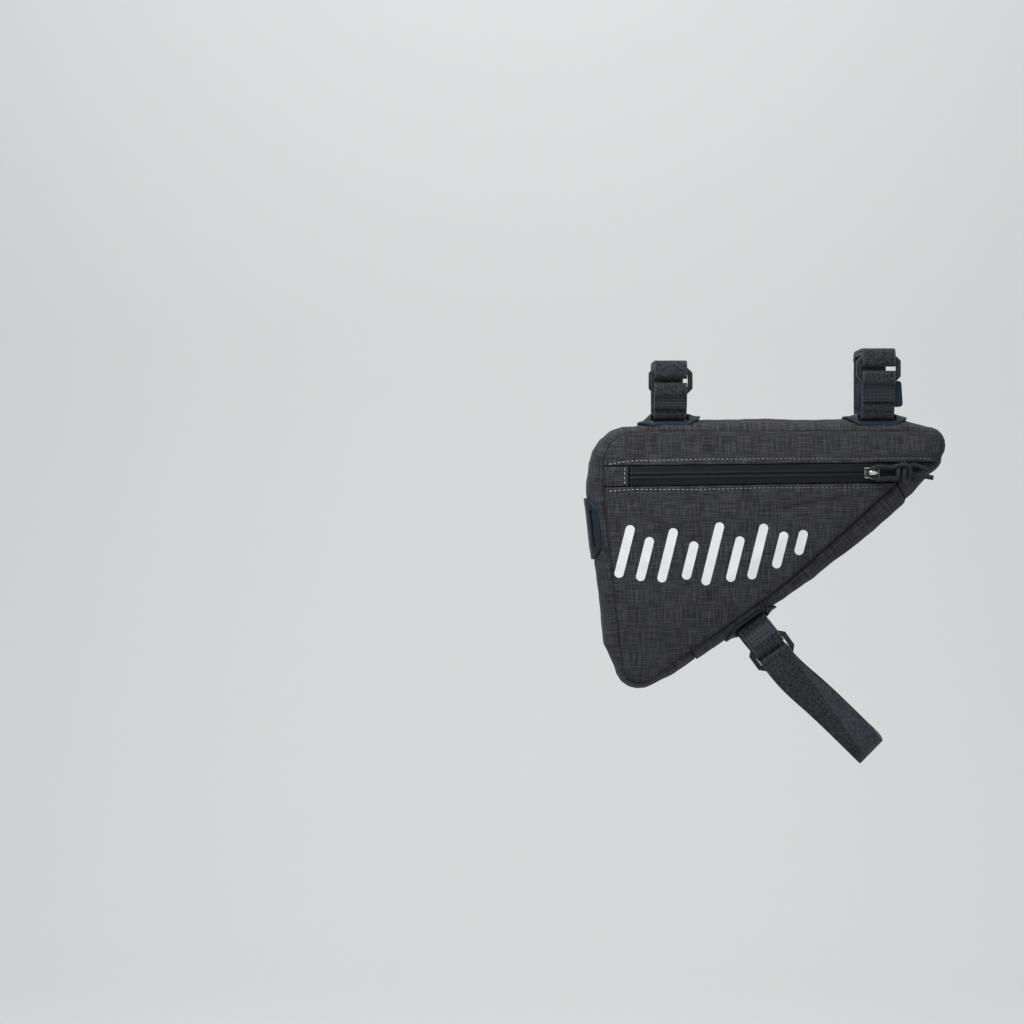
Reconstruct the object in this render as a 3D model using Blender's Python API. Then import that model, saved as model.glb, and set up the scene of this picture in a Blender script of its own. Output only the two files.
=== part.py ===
"""A small triangular bicycle frame bag that hangs under the top tube.

X runs along the bike towards the handlebar, Y into the bag from its zipped side, Z up.
The origin is on the top tube's axis, midway between the two top straps. Metres.
"""

import math
from collections import namedtuple

import bmesh
import bpy
from mathutils import Vector

# The clearance between two pieces that touch.
GAP = 0.0003

# The sewn side walls. The outline below is given as shares of these two lengths.
PANEL_LENGTH = 0.226
PANEL_HEIGHT = 0.170
PANEL_LEFT = -0.1147
PANEL_TOP = -0.0263
PANEL_WALL = 0.0015
PANEL_CROWN = 0.0045
CROWN_REACH = 0.038
BAG_DEPTH = 0.050

# The band between the side walls bulges by this much along the top.
BAND_BULGE = 0.008
BAND_WALL = 0.002
BAND_FULLNESS = 4.0
BULGE_FADE = 0.016
LOWER_BAND_STEP = 0.0008

# The zip's window in the front wall.
ZIP_WIDTH = 0.0138
ZIP_DROP = 0.0308
ZIP_RISE = 0.0031
ZIP_NARROWING = 0.0008
ZIP_TAB = 0.017
TAPE_RECESS = 0.0005
TAPE_THICKNESS = 0.001

# The slider and its bridge, and the cord that pulls it.
SLIDER_FROM_END = 0.1739
SLIDER_LENGTH = 0.0098
SLIDER_WIDTH = 0.0074
SLIDER_FLARE = 0.0010
SLIDER_THICKNESS = 0.0024
BRIDGE_SETBACK = 0.0018
BRIDGE_LENGTH = 0.0072
BRIDGE_WIDTH = 0.0026
BRIDGE_WALL = 0.0011
CORD_DIAMETER = 0.0032

# Straps, ring buckles and the pad under the front strap.
STRAP_WIDTH = 0.022
STRAP_THICKNESS = 0.0018
STRAP_SPACING = 0.139
RING_HEIGHT = 0.0174
RING_BAR = 0.0040
RING_SIDE = 0.0033
RING_THICKNESS = 0.0026
RING_CHAMFER = 0.0034
RING_PLAY = 0.0004
RING_SOFTENING = 0.0005
PAD_WIDTH = 0.0304
PAD_HEIGHT = 0.0174
PAD_THICKNESS = 0.0018
PAD_CORNER = 0.0014
PAD_DROP = 0.0174
PAD_SHIFT = 0.0012
PAD_TILT = math.radians(3.5)

# The patches that hold the straps. A strap comes out of its patch closer to the bag's
# middle than it then lies against the tube, by its lean.
PATCH_LENGTH = 0.0412
PATCH_THICKNESS = 0.0015
PATCH_CORNER = 0.010
PATCH_RAMP = 0.0045
PATCH_RIM = 0.0020
PATCH_RIM_LIFT = 0.0006
SLIT_END = 0.0015
STRAP_TURN = 0.0020
STRAP_LEAN = 0.0020
EMPTY_RISE = 0.0006
EMPTY_SLIT = 0.0026

# The frame tubes that the strap loops close round: the full width, and how far the far
# face lies from the bag's seam.
REAR_TUBE_WIDTH = 0.034
REAR_TUBE_REACH = 0.0433
FRONT_TUBE_WIDTH = 0.0356
FRONT_TUBE_REACH = 0.0514
DOWN_TUBE_WIDTH = 0.042
DOWN_TUBE_REACH = 0.1245

# The seam outline, anticlockwise seen from the zipped side. along and down are shares of
# PANEL_LENGTH and PANEL_HEIGHT, and radius is a share of PANEL_HEIGHT. bulge and leaving,
# where the corner's bend starts and ends, and side_bulge, for the side that follows it,
# are shares of BAND_BULGE.
Corner = namedtuple("Corner", "name along down radius bulge leaving side_bulge")
CORNERS = (
    Corner("top_left", 0.000, 0.000, 0.130, 0.38, 1.12, 1.33),
    Corner("left_waist", 0.000, 0.235, 0.700, 1.30, 1.30, 1.22),
    Corner("bottom_tip", 0.066, 1.052, 0.070, 0.52, 0.50, 0.88),
    Corner("lower_bow", 0.522, 0.619, 0.530, 0.98, 1.10, 1.34),
    Corner("upper_bow", 0.700, 0.410, 0.530, 1.60, 1.64, 1.72),
    Corner("pinch", 0.873, 0.201, 0.235, 1.74, 1.50, 1.10),
    Corner("nose_low", 0.981, 0.135, 0.059, 0.55, 0.62, 0.78),
    Corner("nose_top", 1.022, 0.000, 0.053, 0.55, 0.45, 1.00),
)

# The cross seams that part the lower band from the rest, as shares of the sides after
# bottom_tip and after lower_bow, and the patches without a top strap, likewise.
REAR_CROSS_SEAM = ("bottom_tip", 0.33)
FRONT_CROSS_SEAM = ("upper_bow", 1.09)
SIDE_PATCH = ("left_waist", 0.163)
LOWER_PATCH = ("bottom_tip", 0.763)

# The straps. ring, the ring's middle from the seam, and tail, the free end's drop past the
# far face, are shares of reach. weld, how far the folded-back end reaches below the ring,
# and skew, the far run's wander sideways, are shares of STRAP_WIDTH. corner, the bend
# round the tube's far corners, is a share of the tube's width. stand_off is the share of
# the ring's thickness by which the outer layer still stands off at the far corner, and
# bend is the strap's turn in its own plane past the ring, in degrees.
Strap = namedtuple("Strap", "width reach ring weld corner stand_off tail skew bend")
REAR_STRAP = Strap(REAR_TUBE_WIDTH, REAR_TUBE_REACH, 0.769, 0.45, 0.20, 1, 0.110, 0, 0)
FRONT_STRAP = Strap(FRONT_TUBE_WIDTH, FRONT_TUBE_REACH, 0.805, 0.61, 0.20, 1, 0.120, 0, 0)
LOWER_STRAP = Strap(DOWN_TUBE_WIDTH, DOWN_TUBE_REACH, 0.247, 0.41, 0.31, 0, 0.480, -0.15, -10)

# The pull's two halves, from the middle of the bight under the slider's bridge to the
# knot, and the tails past the knot.
CORD_UPPER = (
    (0.0646, -0.0330, -0.0547),
    (0.0647, -0.0330, -0.0530),
    (0.0656, -0.0330, -0.0515),
    (0.0673, -0.0330, -0.0508),
    (0.0698, -0.0328, -0.0507),
    (0.0728, -0.0321, -0.0509),
    (0.0758, -0.0312, -0.0513),
    (0.0785, -0.0306, -0.0518),
)
CORD_LOWER = (
    (0.0646, -0.0330, -0.0550),
    (0.0647, -0.0330, -0.0567),
    (0.0656, -0.0330, -0.0582),
    (0.0673, -0.0330, -0.0590),
    (0.0698, -0.0327, -0.0590),
    (0.0728, -0.0319, -0.0586),
    (0.0758, -0.0310, -0.0579),
    (0.0785, -0.0305, -0.0571),
)
TAIL_UPPER = (
    (0.0894, -0.0296, -0.0496),
    (0.0926, -0.0289, -0.0498),
    (0.0960, -0.0286, -0.0505),
    (0.0986, -0.0285, -0.0515),
    (0.1011, -0.0284, -0.0527),
)
TAIL_LOWER = (
    (0.0901, -0.0294, -0.0554),
    (0.0931, -0.0287, -0.0561),
    (0.0970, -0.0285, -0.0567),
    (0.1009, -0.0284, -0.0573),
    (0.1047, -0.0283, -0.0579),
)
KNOT_MIDDLE = (0.0845, -0.0307, -0.0539)
KNOT_HALF = (0.0058, 0.0038, 0.0062)

# How finely bends and long sides are divided.
ARC_STEP = math.radians(20)
SIDE_STEP = 0.020
WALL_STEP = 0.018

GUSSET_HALF = BAG_DEPTH / 2 - PANEL_WALL - GAP
WIDEST_TUBE, NARROWEST_TUBE = (
    pick(REAR_TUBE_WIDTH, FRONT_TUBE_WIDTH) for pick in (max, min)
)
SLIT_OUTER = WIDEST_TUBE / 2 + STRAP_THICKNESS + 2 * GAP - STRAP_LEAN
SLIT_INNER = NARROWEST_TUBE / 2 - STRAP_TURN - STRAP_LEAN
SHOULDER = (SLIT_OUTER + GUSSET_HALF) / 2
BAND_ROWS = (
    0.0, 0.36 * SLIT_INNER, 0.70 * SLIT_INNER, SLIT_INNER, SLIT_OUTER, SHOULDER, GUSSET_HALF
)  # fmt: skip


def finish(name, colour, roughness, metallic=0.0):
    """A material of one colour."""
    made = bpy.data.materials.new(name)
    made.use_nodes = True
    shader = made.node_tree.nodes["Principled BSDF"]
    shader.inputs["Base Color"].default_value = (*colour, 1.0)
    shader.inputs["Roughness"].default_value = roughness
    shader.inputs["Metallic"].default_value = metallic
    return made


def closed_body(name, vertices, faces, material):
    """An object made of one closed mesh, with its faces turned outwards."""
    work = bmesh.new()
    made = [work.verts.new(v) for v in vertices]
    for face in faces:
        corners = [made[i] for i in face]
        work.faces.new(corners)
    bmesh.ops.recalc_face_normals(work, faces=work.faces)
    mesh = bpy.data.meshes.new(name)
    work.to_mesh(mesh)
    work.free()
    return placed(name, mesh, material)


def placed(name, mesh, material):
    mesh.shade_smooth()
    mesh.set_sharp_from_angle(angle=math.radians(40))
    mesh.materials.append(material)
    thing = bpy.data.objects.new(name, mesh)
    bpy.context.scene.collection.objects.link(thing)
    return thing


def wall_body(name, outer, inner, skin, material):
    """A wall between two matching skins of points, closed along every free edge."""
    count = len(outer)
    used = {edge for face in skin for edge in zip(face, face[1:] + face[:1])}
    faces = list(skin) + [tuple(count + i for i in reversed(face)) for face in skin]
    free = sorted((a, b) for a, b in used if (b, a) not in used)
    faces += [(b, a, count + a, count + b) for a, b in free]
    return closed_body(name, list(outer) + list(inner), faces, material)


def grid_skin(rows, columns, closed=False):
    """The quads of a grid of points, with its rows joined into a ring if closed."""
    skin = []
    for i in range(rows if closed else rows - 1):
        j = (i + 1) % rows
        for k in range(columns - 1):
            near, far = i * columns + k, j * columns + k
            skin.append((near, far, far + 1, near + 1))
    return skin


def mix(a, b, share):
    return a + (b - a) * share


def smooth(share):
    share = min(max(share, 0.0), 1.0)
    return share * share * (3 - 2 * share)


def turned(arm, angle):
    cos, sin = math.cos(angle), math.sin(angle)
    return Vector((arm.x * cos - arm.y * sin, arm.x * sin + arm.y * cos))


def corner_arc(before, here, after, radius):
    """The points of a bend of that radius at a corner of a flat path."""
    into, out = (here - before).normalized(), (after - here).normalized()
    turn = math.atan2(into.x * out.y - into.y * out.x, into.dot(out))
    if radius == 0 or abs(turn) < 0.01:
        return [here]
    start = here - into * radius * math.tan(abs(turn) / 2)
    centre = start + turned(into, math.copysign(math.pi / 2, turn)) * radius
    steps = max(2, math.ceil(abs(turn) / ARC_STEP))
    return [centre + turned(start - centre, turn * k / steps) for k in range(steps + 1)]


def bent_path(corners):
    """A flat path through (depth, distance, radius) corners."""
    spots = [Vector(corner[:2]) for corner in corners]
    points = [spots[0]]
    for i in range(1, len(corners) - 1):
        bend = corner_arc(spots[i - 1], spots[i], spots[i + 1], corners[i][2])
        points += bend[1:] if (bend[0] - points[-1]).length < GAP / 10 else bend
    return points + [spots[-1]]


# The seam outline, as stations with an outward normal each.
Station = namedtuple("Station", "x z nx nz bulge run")


def finer(path):
    """The same path with its long straight runs divided, so that they can be swung."""
    points = [path[0]]
    for here, there in zip(path, path[1:]):
        parts = math.ceil((there - here).length / WALL_STEP)
        points += [here.lerp(there, i / parts) for i in range(1, parts + 1)]
    return points


def outline_spot(along, down):
    return Vector((PANEL_LEFT + along * PANEL_LENGTH, PANEL_TOP - down * PANEL_HEIGHT))


def side_marks(length):
    """How far along a straight side its stations are, close together where it fades."""
    plain = length - 2 * BULGE_FADE
    if plain <= 0:
        return [length / 2]
    pieces = max(1, round(plain / SIDE_STEP))
    marks = [BULGE_FADE + plain * k / pieces for k in range(pieces + 1)]
    return [BULGE_FADE / 2, *marks, length - BULGE_FADE / 2]


def outline_stations():
    """The stations round the outline, each side's first and last run, and the length."""
    spots = [outline_spot(corner.along, corner.down) for corner in CORNERS]
    count = len(CORNERS)
    arcs = [
        corner_arc(spots[i - 1], spots[i], spots[(i + 1) % count], c.radius * PANEL_HEIGHT)
        for i, c in enumerate(CORNERS)
    ]
    points, bulges, ends = [], [], []
    for i, corner in enumerate(CORNERS):
        points += arcs[i]
        last = max(1, len(arcs[i]) - 1)
        bulges += [mix(corner.bulge, corner.leaving, k / last) for k in range(len(arcs[i]))]
        start, end = arcs[i][-1], arcs[(i + 1) % count][0]
        length = (end - start).length
        ends.append((len(points) - 1, length))
        for mark in side_marks(length):
            near = 1 - smooth(mark / BULGE_FADE)
            far = 1 - smooth((length - mark) / BULGE_FADE)
            wanted = mix(corner.side_bulge, corner.leaving, near)
            wanted += (CORNERS[(i + 1) % count].bulge - corner.side_bulge) * far
            points.append(start.lerp(end, mark / length))
            bulges.append(wanted)
    stations, run = [], 0.0
    for i, spot in enumerate(points):
        before, after = points[i - 1], points[(i + 1) % len(points)]
        along = ((spot - before).normalized() + (after - spot).normalized()).normalized()
        bulge = bulges[i] * BAND_BULGE
        stations.append(Station(spot.x, spot.y, along.y, -along.x, bulge, run))
        run += (after - spot).length
    sides = {
        corner.name: (stations[first].run, stations[first].run + length)
        for corner, (first, length) in zip(CORNERS, ends)
    }
    return stations, sides, run


STATIONS, SIDES, OUTLINE_LENGTH = outline_stations()


def run_on(side, share):
    """The run at a share of the side that follows the named corner."""
    return mix(*SIDES[side], share)


def run_over(x):
    """The run of the top side's point at x."""
    start = SIDES["nose_top"][0]
    return start + station_at(start).x - x


def station_at(run):
    """The outline at any run, straight between its stations."""
    run %= OUTLINE_LENGTH
    i = max(k for k, station in enumerate(STATIONS) if station.run <= run)
    first, last = STATIONS[i], STATIONS[(i + 1) % len(STATIONS)]
    end = last.run or OUTLINE_LENGTH
    share = (run - first.run) / (end - first.run)
    return Station(*(mix(a, b, share) for a, b in zip(first[:5], last[:5])), run)


def band_height(bulge, y):
    """How far the band's outer face stands out from the seam at a depth y."""
    depth = min(abs(y), GUSSET_HALF)
    i = max(k for k, row in enumerate(BAND_ROWS[:-1]) if row <= depth)
    low, high = (
        bulge * (1 - (row / GUSSET_HALF) ** BAND_FULLNESS) for row in BAND_ROWS[i : i + 2]
    )
    return mix(low, high, (depth - BAND_ROWS[i]) / (BAND_ROWS[i + 1] - BAND_ROWS[i]))


def band_point(station, y, lift):
    out = band_height(station.bulge, y) + lift
    return Vector((station.x + station.nx * out, y, station.z + station.nz * out))


def both_sides(values):
    """The values mirrored to the negative side, in order. The first one is 0."""
    return [-value for value in reversed(values[1:])] + list(values)


def band_piece(name, first, last, lift, material):
    """A stretch of the band, from the run first to the run last."""
    if last < first:
        last += OUTLINE_LENGTH
    runs = [s.run + turn for turn in (0, OUTLINE_LENGTH) for s in STATIONS]
    runs = [first] + [run for run in runs if first + GAP < run < last - GAP] + [last]
    depths = both_sides(BAND_ROWS)
    outer = [band_point(station_at(run), y, lift) for run in runs for y in depths]
    inner = [band_point(station_at(run), y, lift - BAND_WALL) for run in runs for y in depths]
    return wall_body(name, outer, inner, grid_skin(len(runs), len(depths)), material)


def band(fabric):
    """The wrap-round band and, along the long lower edge, its separate lower stretch."""
    rear, front = run_on(*REAR_CROSS_SEAM), run_on(*FRONT_CROSS_SEAM)
    band_piece("gusset_wrap", front + GAP / 2, rear - GAP / 2, 0.0, fabric)
    band_piece("gusset_lower", rear + GAP / 2, front - GAP / 2, LOWER_BAND_STEP, fabric)


def seam_distance(spot):
    """How far a point of a side wall lies from the seam outline."""
    best = PANEL_LENGTH
    for first, last in zip(STATIONS, STATIONS[1:] + STATIONS[:1]):
        start, end = Vector((first.x, first.z)), Vector((last.x, last.z))
        along = end - start
        share = min(max((spot - start).dot(along) / along.length_squared, 0.0), 1.0)
        best = min(best, (spot - start - along * share).length)
    return best


def wall_face(spot):
    """How far a side wall's outer face lies from the bag's middle plane."""
    short = max(0.0, 1 - seam_distance(spot) / CROWN_REACH)
    return BAG_DEPTH / 2 + PANEL_CROWN * (1 - short * short)


def window_edge(top):
    """A point on the zip window's upper or lower edge, and the direction out of it."""
    side = 1 if top else -1
    spot = Vector((PANEL_LEFT, PANEL_TOP - ZIP_DROP + side * ZIP_WIDTH / 2))
    rise = ZIP_RISE - side * ZIP_NARROWING / 2
    along = Vector((PANEL_LENGTH, rise)).normalized()
    return spot, turned(along, side * math.pi / 2)


def clipped(border, spot, keep):
    """The part of a flat border on the side of a line that keep points to."""
    made = []
    for first, last in zip(border, border[1:] + border[:1]):
        a, b = (first - spot).dot(keep), (last - spot).dot(keep)
        if a >= 0:
            made.append(first)
        if a * b < 0:
            made.append(first.lerp(last, a / (a - b)))
    return made


def divided(border):
    """The border again, with its long sides divided."""
    made = []
    for first, last in zip(border, border[1:] + border[:1]):
        pieces = max(1, round((last - first).length / WALL_STEP))
        made += [first.lerp(last, k / pieces) for k in range(pieces)]
    return made


def ring_filled(ring, shares):
    """Triangles across a long ring of points, in the order of their shares along it."""
    count = len(ring)
    first = shares.index(min(shares))
    length = (shares.index(max(shares)) - first) % count
    ahead = [(first + k) % count for k in range(length + 1)]
    behind = [(first - k) % count for k in range(count - length + 1)]
    faces, i, j = [], 0, 0
    while i < len(ahead) - 1 or j < len(behind) - 1:
        done = j == len(behind) - 1
        if done or (i < len(ahead) - 1 and shares[ahead[i + 1]] <= shares[behind[j + 1]]):
            face = (ahead[i], ahead[i + 1], behind[j])
            i += 1
        else:
            face = (ahead[i], behind[j + 1], behind[j])
            j += 1
        if len(set(face)) == 3:
            faces.append(tuple(ring[k] for k in face))
    return faces


def wall_piece(name, border, spine, side, recess, thickness, material, narrow=False):
    """A crowned piece of a side wall, in rings that step in from its border to a spine."""
    steps = ((0.0, 0.0), (0.004, 0.2), (0.012, 0.5), (0.028, 0.8))
    start, end = outline_spot(*spine[0]), outline_spot(*spine[1])
    along = end - start
    outer, inner, shares = [], [], []
    for spot in border:
        share = (spot - start).dot(along) / along.length_squared
        shares.append(share)
        ray = start + along * min(max(share, 0.0), 1.0) - spot
        for step, most in steps:
            here = spot + ray * min(step / ray.length, most)
            depth = wall_face(here) - recess
            outer.append((here.x, side * depth, here.y))
            inner.append((here.x, side * (depth - thickness), here.y))
    columns = len(steps)
    skin = grid_skin(len(border), columns, closed=True)
    middle = tuple(i * columns + columns - 1 for i in range(len(border)))
    skin += ring_filled(middle, shares) if narrow else [middle]
    return wall_body(name, outer, inner, skin, material)


def side_walls(fabric, coated):
    """The zipped front wall in its four pieces, and the plain back wall."""
    seam = [Vector((s.x, s.z)) for s in STATIONS]
    between, panels = seam, []
    for top in (True, False):
        spot, out = window_edge(top)
        panels.append(clipped(seam, spot + out * GAP / 2, out))
        between = clipped(between, spot - out * GAP / 2, -out)
    right = Vector((1.0, 0.0))
    tab_end = Vector((PANEL_LEFT + ZIP_TAB, 0.0))
    tab = clipped(between, tab_end - right * GAP / 2, -right)
    tape = clipped(between, tab_end + right * GAP / 2, right)
    drop = ZIP_DROP / PANEL_HEIGHT
    upper_spine = ((0.075, drop * 0.4), (0.925, drop * 0.4))
    lower_spine = ((0.125, 0.434), (0.757, 0.257))
    tab_spine = ((0.035, drop), (0.045, drop))
    tape_spine = ((0.110, drop), (0.900, drop * 0.94))
    back_spine = ((0.125, 0.345), (0.877, 0.092))
    for name, border, spine in (
        ("front_panel_upper", panels[0], upper_spine),
        ("front_panel_lower", panels[1], lower_spine),
        ("zip_end_tab", tab, tab_spine),
    ):
        wall_piece(name, divided(border), spine, -1, 0.0, PANEL_WALL, fabric)
    made = (TAPE_RECESS, TAPE_THICKNESS, coated, True)
    wall_piece("zip_tape", divided(tape), tape_spine, -1, *made)
    wall_piece("back_panel", seam, back_spine, 1, 0.0, PANEL_WALL, fabric)


def saddle(run):
    """The outline at a strap's middle, with the band's highest bulge under the strap."""
    middle = station_at(run)
    edges = [station_at(run + side * STRAP_WIDTH / 2).bulge for side in (-1, 1)]
    under = [s.bulge for s in STATIONS if abs(s.run - middle.run) < STRAP_WIDTH / 2]
    return middle._replace(bulge=max([middle.bulge, *edges, *under]))


def slope_factor(bulge, y):
    """How much longer a layer on the band measures outwards than across itself."""
    slope = (band_height(bulge, abs(y) + GAP) - band_height(bulge, abs(y) - GAP)) / (2 * GAP)
    return math.hypot(1, slope)


def patch(name, run, lift, slit, rise, rubber):
    """A rubbery patch: its rim is sewn down, and its middle is raised between two slits."""
    half = PATCH_LENGTH / 2
    slit_half = STRAP_WIDTH / 2 + SLIT_END
    edge = SLIT_OUTER + PATCH_RIM
    ramp_end = slit_half + PATCH_RAMP
    columns = both_sides(
        (0.0, 0.6 * slit_half, slit_half, ramp_end, mix(ramp_end, half, 0.6), half)
    )
    bends = [s.run - run for s in STATIONS if abs(s.run - run) < half]
    columns += [u for u in bends if min(abs(u - column) for column in columns) > GAP]
    columns.sort()
    on_band = [row for row in BAND_ROWS if row < edge - GAP]
    rows = both_sides(sorted({*on_band, *slit, edge}))
    seat_line = saddle(run)
    outer, inner = [], []
    for u in columns:
        past = max(0.0, abs(u) - (half - PATCH_CORNER))
        reach = edge - PATCH_CORNER + math.sqrt(max(0.0, PATCH_CORNER**2 - past**2))
        squeeze = reach / edge if abs(u) > slit_half else 1.0
        up = 1 - smooth((abs(u) - slit_half) / PATCH_RAMP)
        station = station_at(run + u)
        along = Vector((-seat_line.nz, 0.0, seat_line.nx)) * u
        for y in rows:
            low = lift + GAP + PATCH_RIM_LIFT * (1 - up)
            high = lift + GAP + rise * slope_factor(seat_line.bulge, y)
            level = up if abs(y) <= slit[0] else 0.0
            for skin, thickness in ((inner, 0.0), (outer, PATCH_THICKNESS)):
                sewn = band_point(station, y * squeeze, low + thickness)
                raised = band_point(seat_line, y * squeeze, high + thickness) + along
                skin.append(sewn.lerp(raised, level))
    wide = len(rows)
    slit_cells = {rows.index(-slit[1]), rows.index(slit[0])}
    skin = []
    for face in grid_skin(len(columns), wide):
        i, k = divmod(face[0], wide)
        if not (k in slit_cells and -slit_half <= columns[i] < slit_half):
            skin.append(face)
    return wall_body(name, outer, inner, skin, rubber)


def ring_middle(strap):
    return strap.ring * strap.reach


def strap_path(strap, bulge, lift):
    """The webbing's middle line, as depths and distances from the seam."""
    half = STRAP_THICKNESS / 2
    layer = STRAP_THICKNESS + GAP
    inner = strap.width / 2 + half
    outer = inner + layer
    front = outer + RING_THICKNESS + GAP
    turn = (front - inner) / 2
    eased = turn - GAP / 2
    window = RING_HEIGHT / 2 - RING_BAR
    near_bar, far_bar = ring_middle(strap) - window, ring_middle(strap) + window
    ring_foot = ring_middle(strap) - RING_HEIGHT / 2
    far = strap.reach + half
    corner = min(strap.corner * strap.width, far - far_bar - GAP)
    tail = strap.tail * strap.reach
    leave = min(inner, SLIT_OUTER - half - GAP)

    def tunnel(y):
        layers = lift + GAP + half * slope_factor(bulge, y)
        return (y, band_height(bulge, y) + layers, 0)

    floor = tunnel(SLIT_INNER)[1]
    rise = 2 * STRAP_THICKNESS
    settle = rise + max(1.5 * STRAP_THICKNESS, 1.6 * (inner - leave))
    lean = (inner - leave) / (settle - rise)
    bend = 1.5 * STRAP_THICKNESS

    def welded(distance):
        short = max(0.0, floor + settle - distance)
        over = layer * math.hypot(1, lean if short else 0)
        return (-(inner - lean * short + over), distance)

    corners = [
        (*welded(ring_foot - strap.weld * STRAP_WIDTH), 0),
        (*welded(ring_foot - 2 * STRAP_THICKNESS), 2 * bend),
        (-front, ring_foot, bend),
        (-front, near_bar + turn, eased),
        (-inner, near_bar + turn, eased),
        (-inner, floor + settle, bend),
        (-leave, floor + rise, bend),
        (-leave, floor, bend),
    ]
    corners += [tunnel(y) for y in both_sides(BAND_ROWS[:4])]
    corners += [
        (leave, floor, bend),
        (leave, floor + rise, bend),
        (inner, floor + settle, bend),
        (inner, far, corner),
        (-inner, far, corner),
        (-inner, far_bar - turn, eased),
        (-front, far_bar - turn, eased),
    ]
    stand = mix(outer, front, strap.stand_off)
    stand_corner = mix(corner + layer, 2.5 * STRAP_THICKNESS, strap.stand_off)
    corners += [
        (-stand, far + layer, stand_corner),
        (outer, far + layer, min(corner + layer, tail - GAP)),
        (outer, far + layer - tail, 0),
    ]
    return bent_path(corners)


def ribbon(path, thickness, place):
    """The two skins of a flat band along a path. place gives its edges at each point."""
    outer, inner = [], []
    for i, spot in enumerate(path):
        into = (spot - path[i - 1] if i else path[1] - spot).normalized()
        out = (path[i + 1] - spot if i + 1 < len(path) else into).normalized()
        across = turned((into + out).normalized(), math.pi / 2)
        across *= thickness / 2 / across.dot(turned(into, math.pi / 2))
        for skin, sign in ((outer, 1), (inner, -1)):
            skin += place(spot + across * sign)
    return outer, inner


def strap_loop(name, strap, run, lift, webbing):
    """One strap: welded end, ring, patch, round the tube, ring again and free end."""
    station = saddle(run)
    path = strap_path(strap, station.bulge, lift)
    if strap.bend or strap.skew:
        path = finer(path)
    past_ring = ring_middle(strap) + RING_HEIGHT / 2

    def place(spot):
        on_far_side = smooth(spot.x / strap.width + 0.5) * smooth(2 * spot.y / strap.reach)
        wander = strap.skew * STRAP_WIDTH * on_far_side
        beyond = max(0.0, spot.y - past_ring)
        bend = math.radians(strap.bend) * smooth(beyond / past_ring)
        edges = []
        for w in (-STRAP_WIDTH / 2 + wander, STRAP_WIDTH / 2 + wander):
            swung = turned(Vector((w, beyond)), -bend)
            edges.append((swung.x, spot.x, min(spot.y, past_ring) + swung.y))
        return edges

    outer, inner = ribbon(path, STRAP_THICKNESS, place)
    made = wall_body(name, outer, inner, grid_skin(len(path), 2), webbing)
    seat(made, station)


def seat(thing, station):
    """Puts a piece that was made on the seam at the origin in its place on the outline."""
    thing.location = (station.x, 0.0, station.z)
    thing.rotation_euler = (0.0, math.atan2(station.nx, station.nz), 0.0)


def soften(thing, width, segments=2):
    bevel = thing.modifiers.new("soft_edges", "BEVEL")
    bevel.width = width
    bevel.segments = segments
    bevel.limit_method = "ANGLE"
    bevel.angle_limit = math.radians(40)


def cut_rectangle(width, height, cut):
    """A rectangle with its corners cut off, as eight points."""
    x, z = width / 2, height / 2
    return [
        (x, z - cut), (x - cut, z), (-x + cut, z), (-x, z - cut),
        (-x, -z + cut), (-x + cut, -z), (x - cut, -z), (x, -z + cut),
    ]  # fmt: skip


def ring_buckle(name, strap, run, plastic):
    """A plain rectangular ring that a strap folds back round on both sides."""
    wide = STRAP_WIDTH + 2 * RING_PLAY
    outside = cut_rectangle(wide + 2 * RING_SIDE, RING_HEIGHT, RING_CHAMFER)
    window = cut_rectangle(wide, RING_HEIGHT - 2 * RING_BAR, RING_CHAMFER / 6)
    back = -(strap.width / 2 + STRAP_THICKNESS + GAP)
    skins = []
    for y in (back - RING_THICKNESS, back):
        pairs = zip(outside, window)
        skins.append([(x, y, z + ring_middle(strap)) for pair in pairs for x, z in pair])
    made = wall_body(name, *skins, grid_skin(len(outside), 2, closed=True), plastic)
    soften(made, RING_SOFTENING)
    seat(made, station_at(run))


def grip_pad(strap, run, rubber):
    """The soft pad between the front strap and the tube."""
    border = [
        turned(Vector(spot), PAD_TILT) + Vector((PAD_SHIFT, ring_middle(strap) - PAD_DROP))
        for spot in cut_rectangle(PAD_WIDTH, PAD_HEIGHT, PAD_CORNER)
    ]
    front = -(strap.width / 2 - GAP)
    skins = [[(x, y, z) for x, z in border] for y in (front, front + PAD_THICKNESS)]
    made = wall_body("grip_pad", *skins, [tuple(range(len(border)))], rubber)
    soften(made, RING_SOFTENING)
    seat(made, station_at(run))


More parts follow.
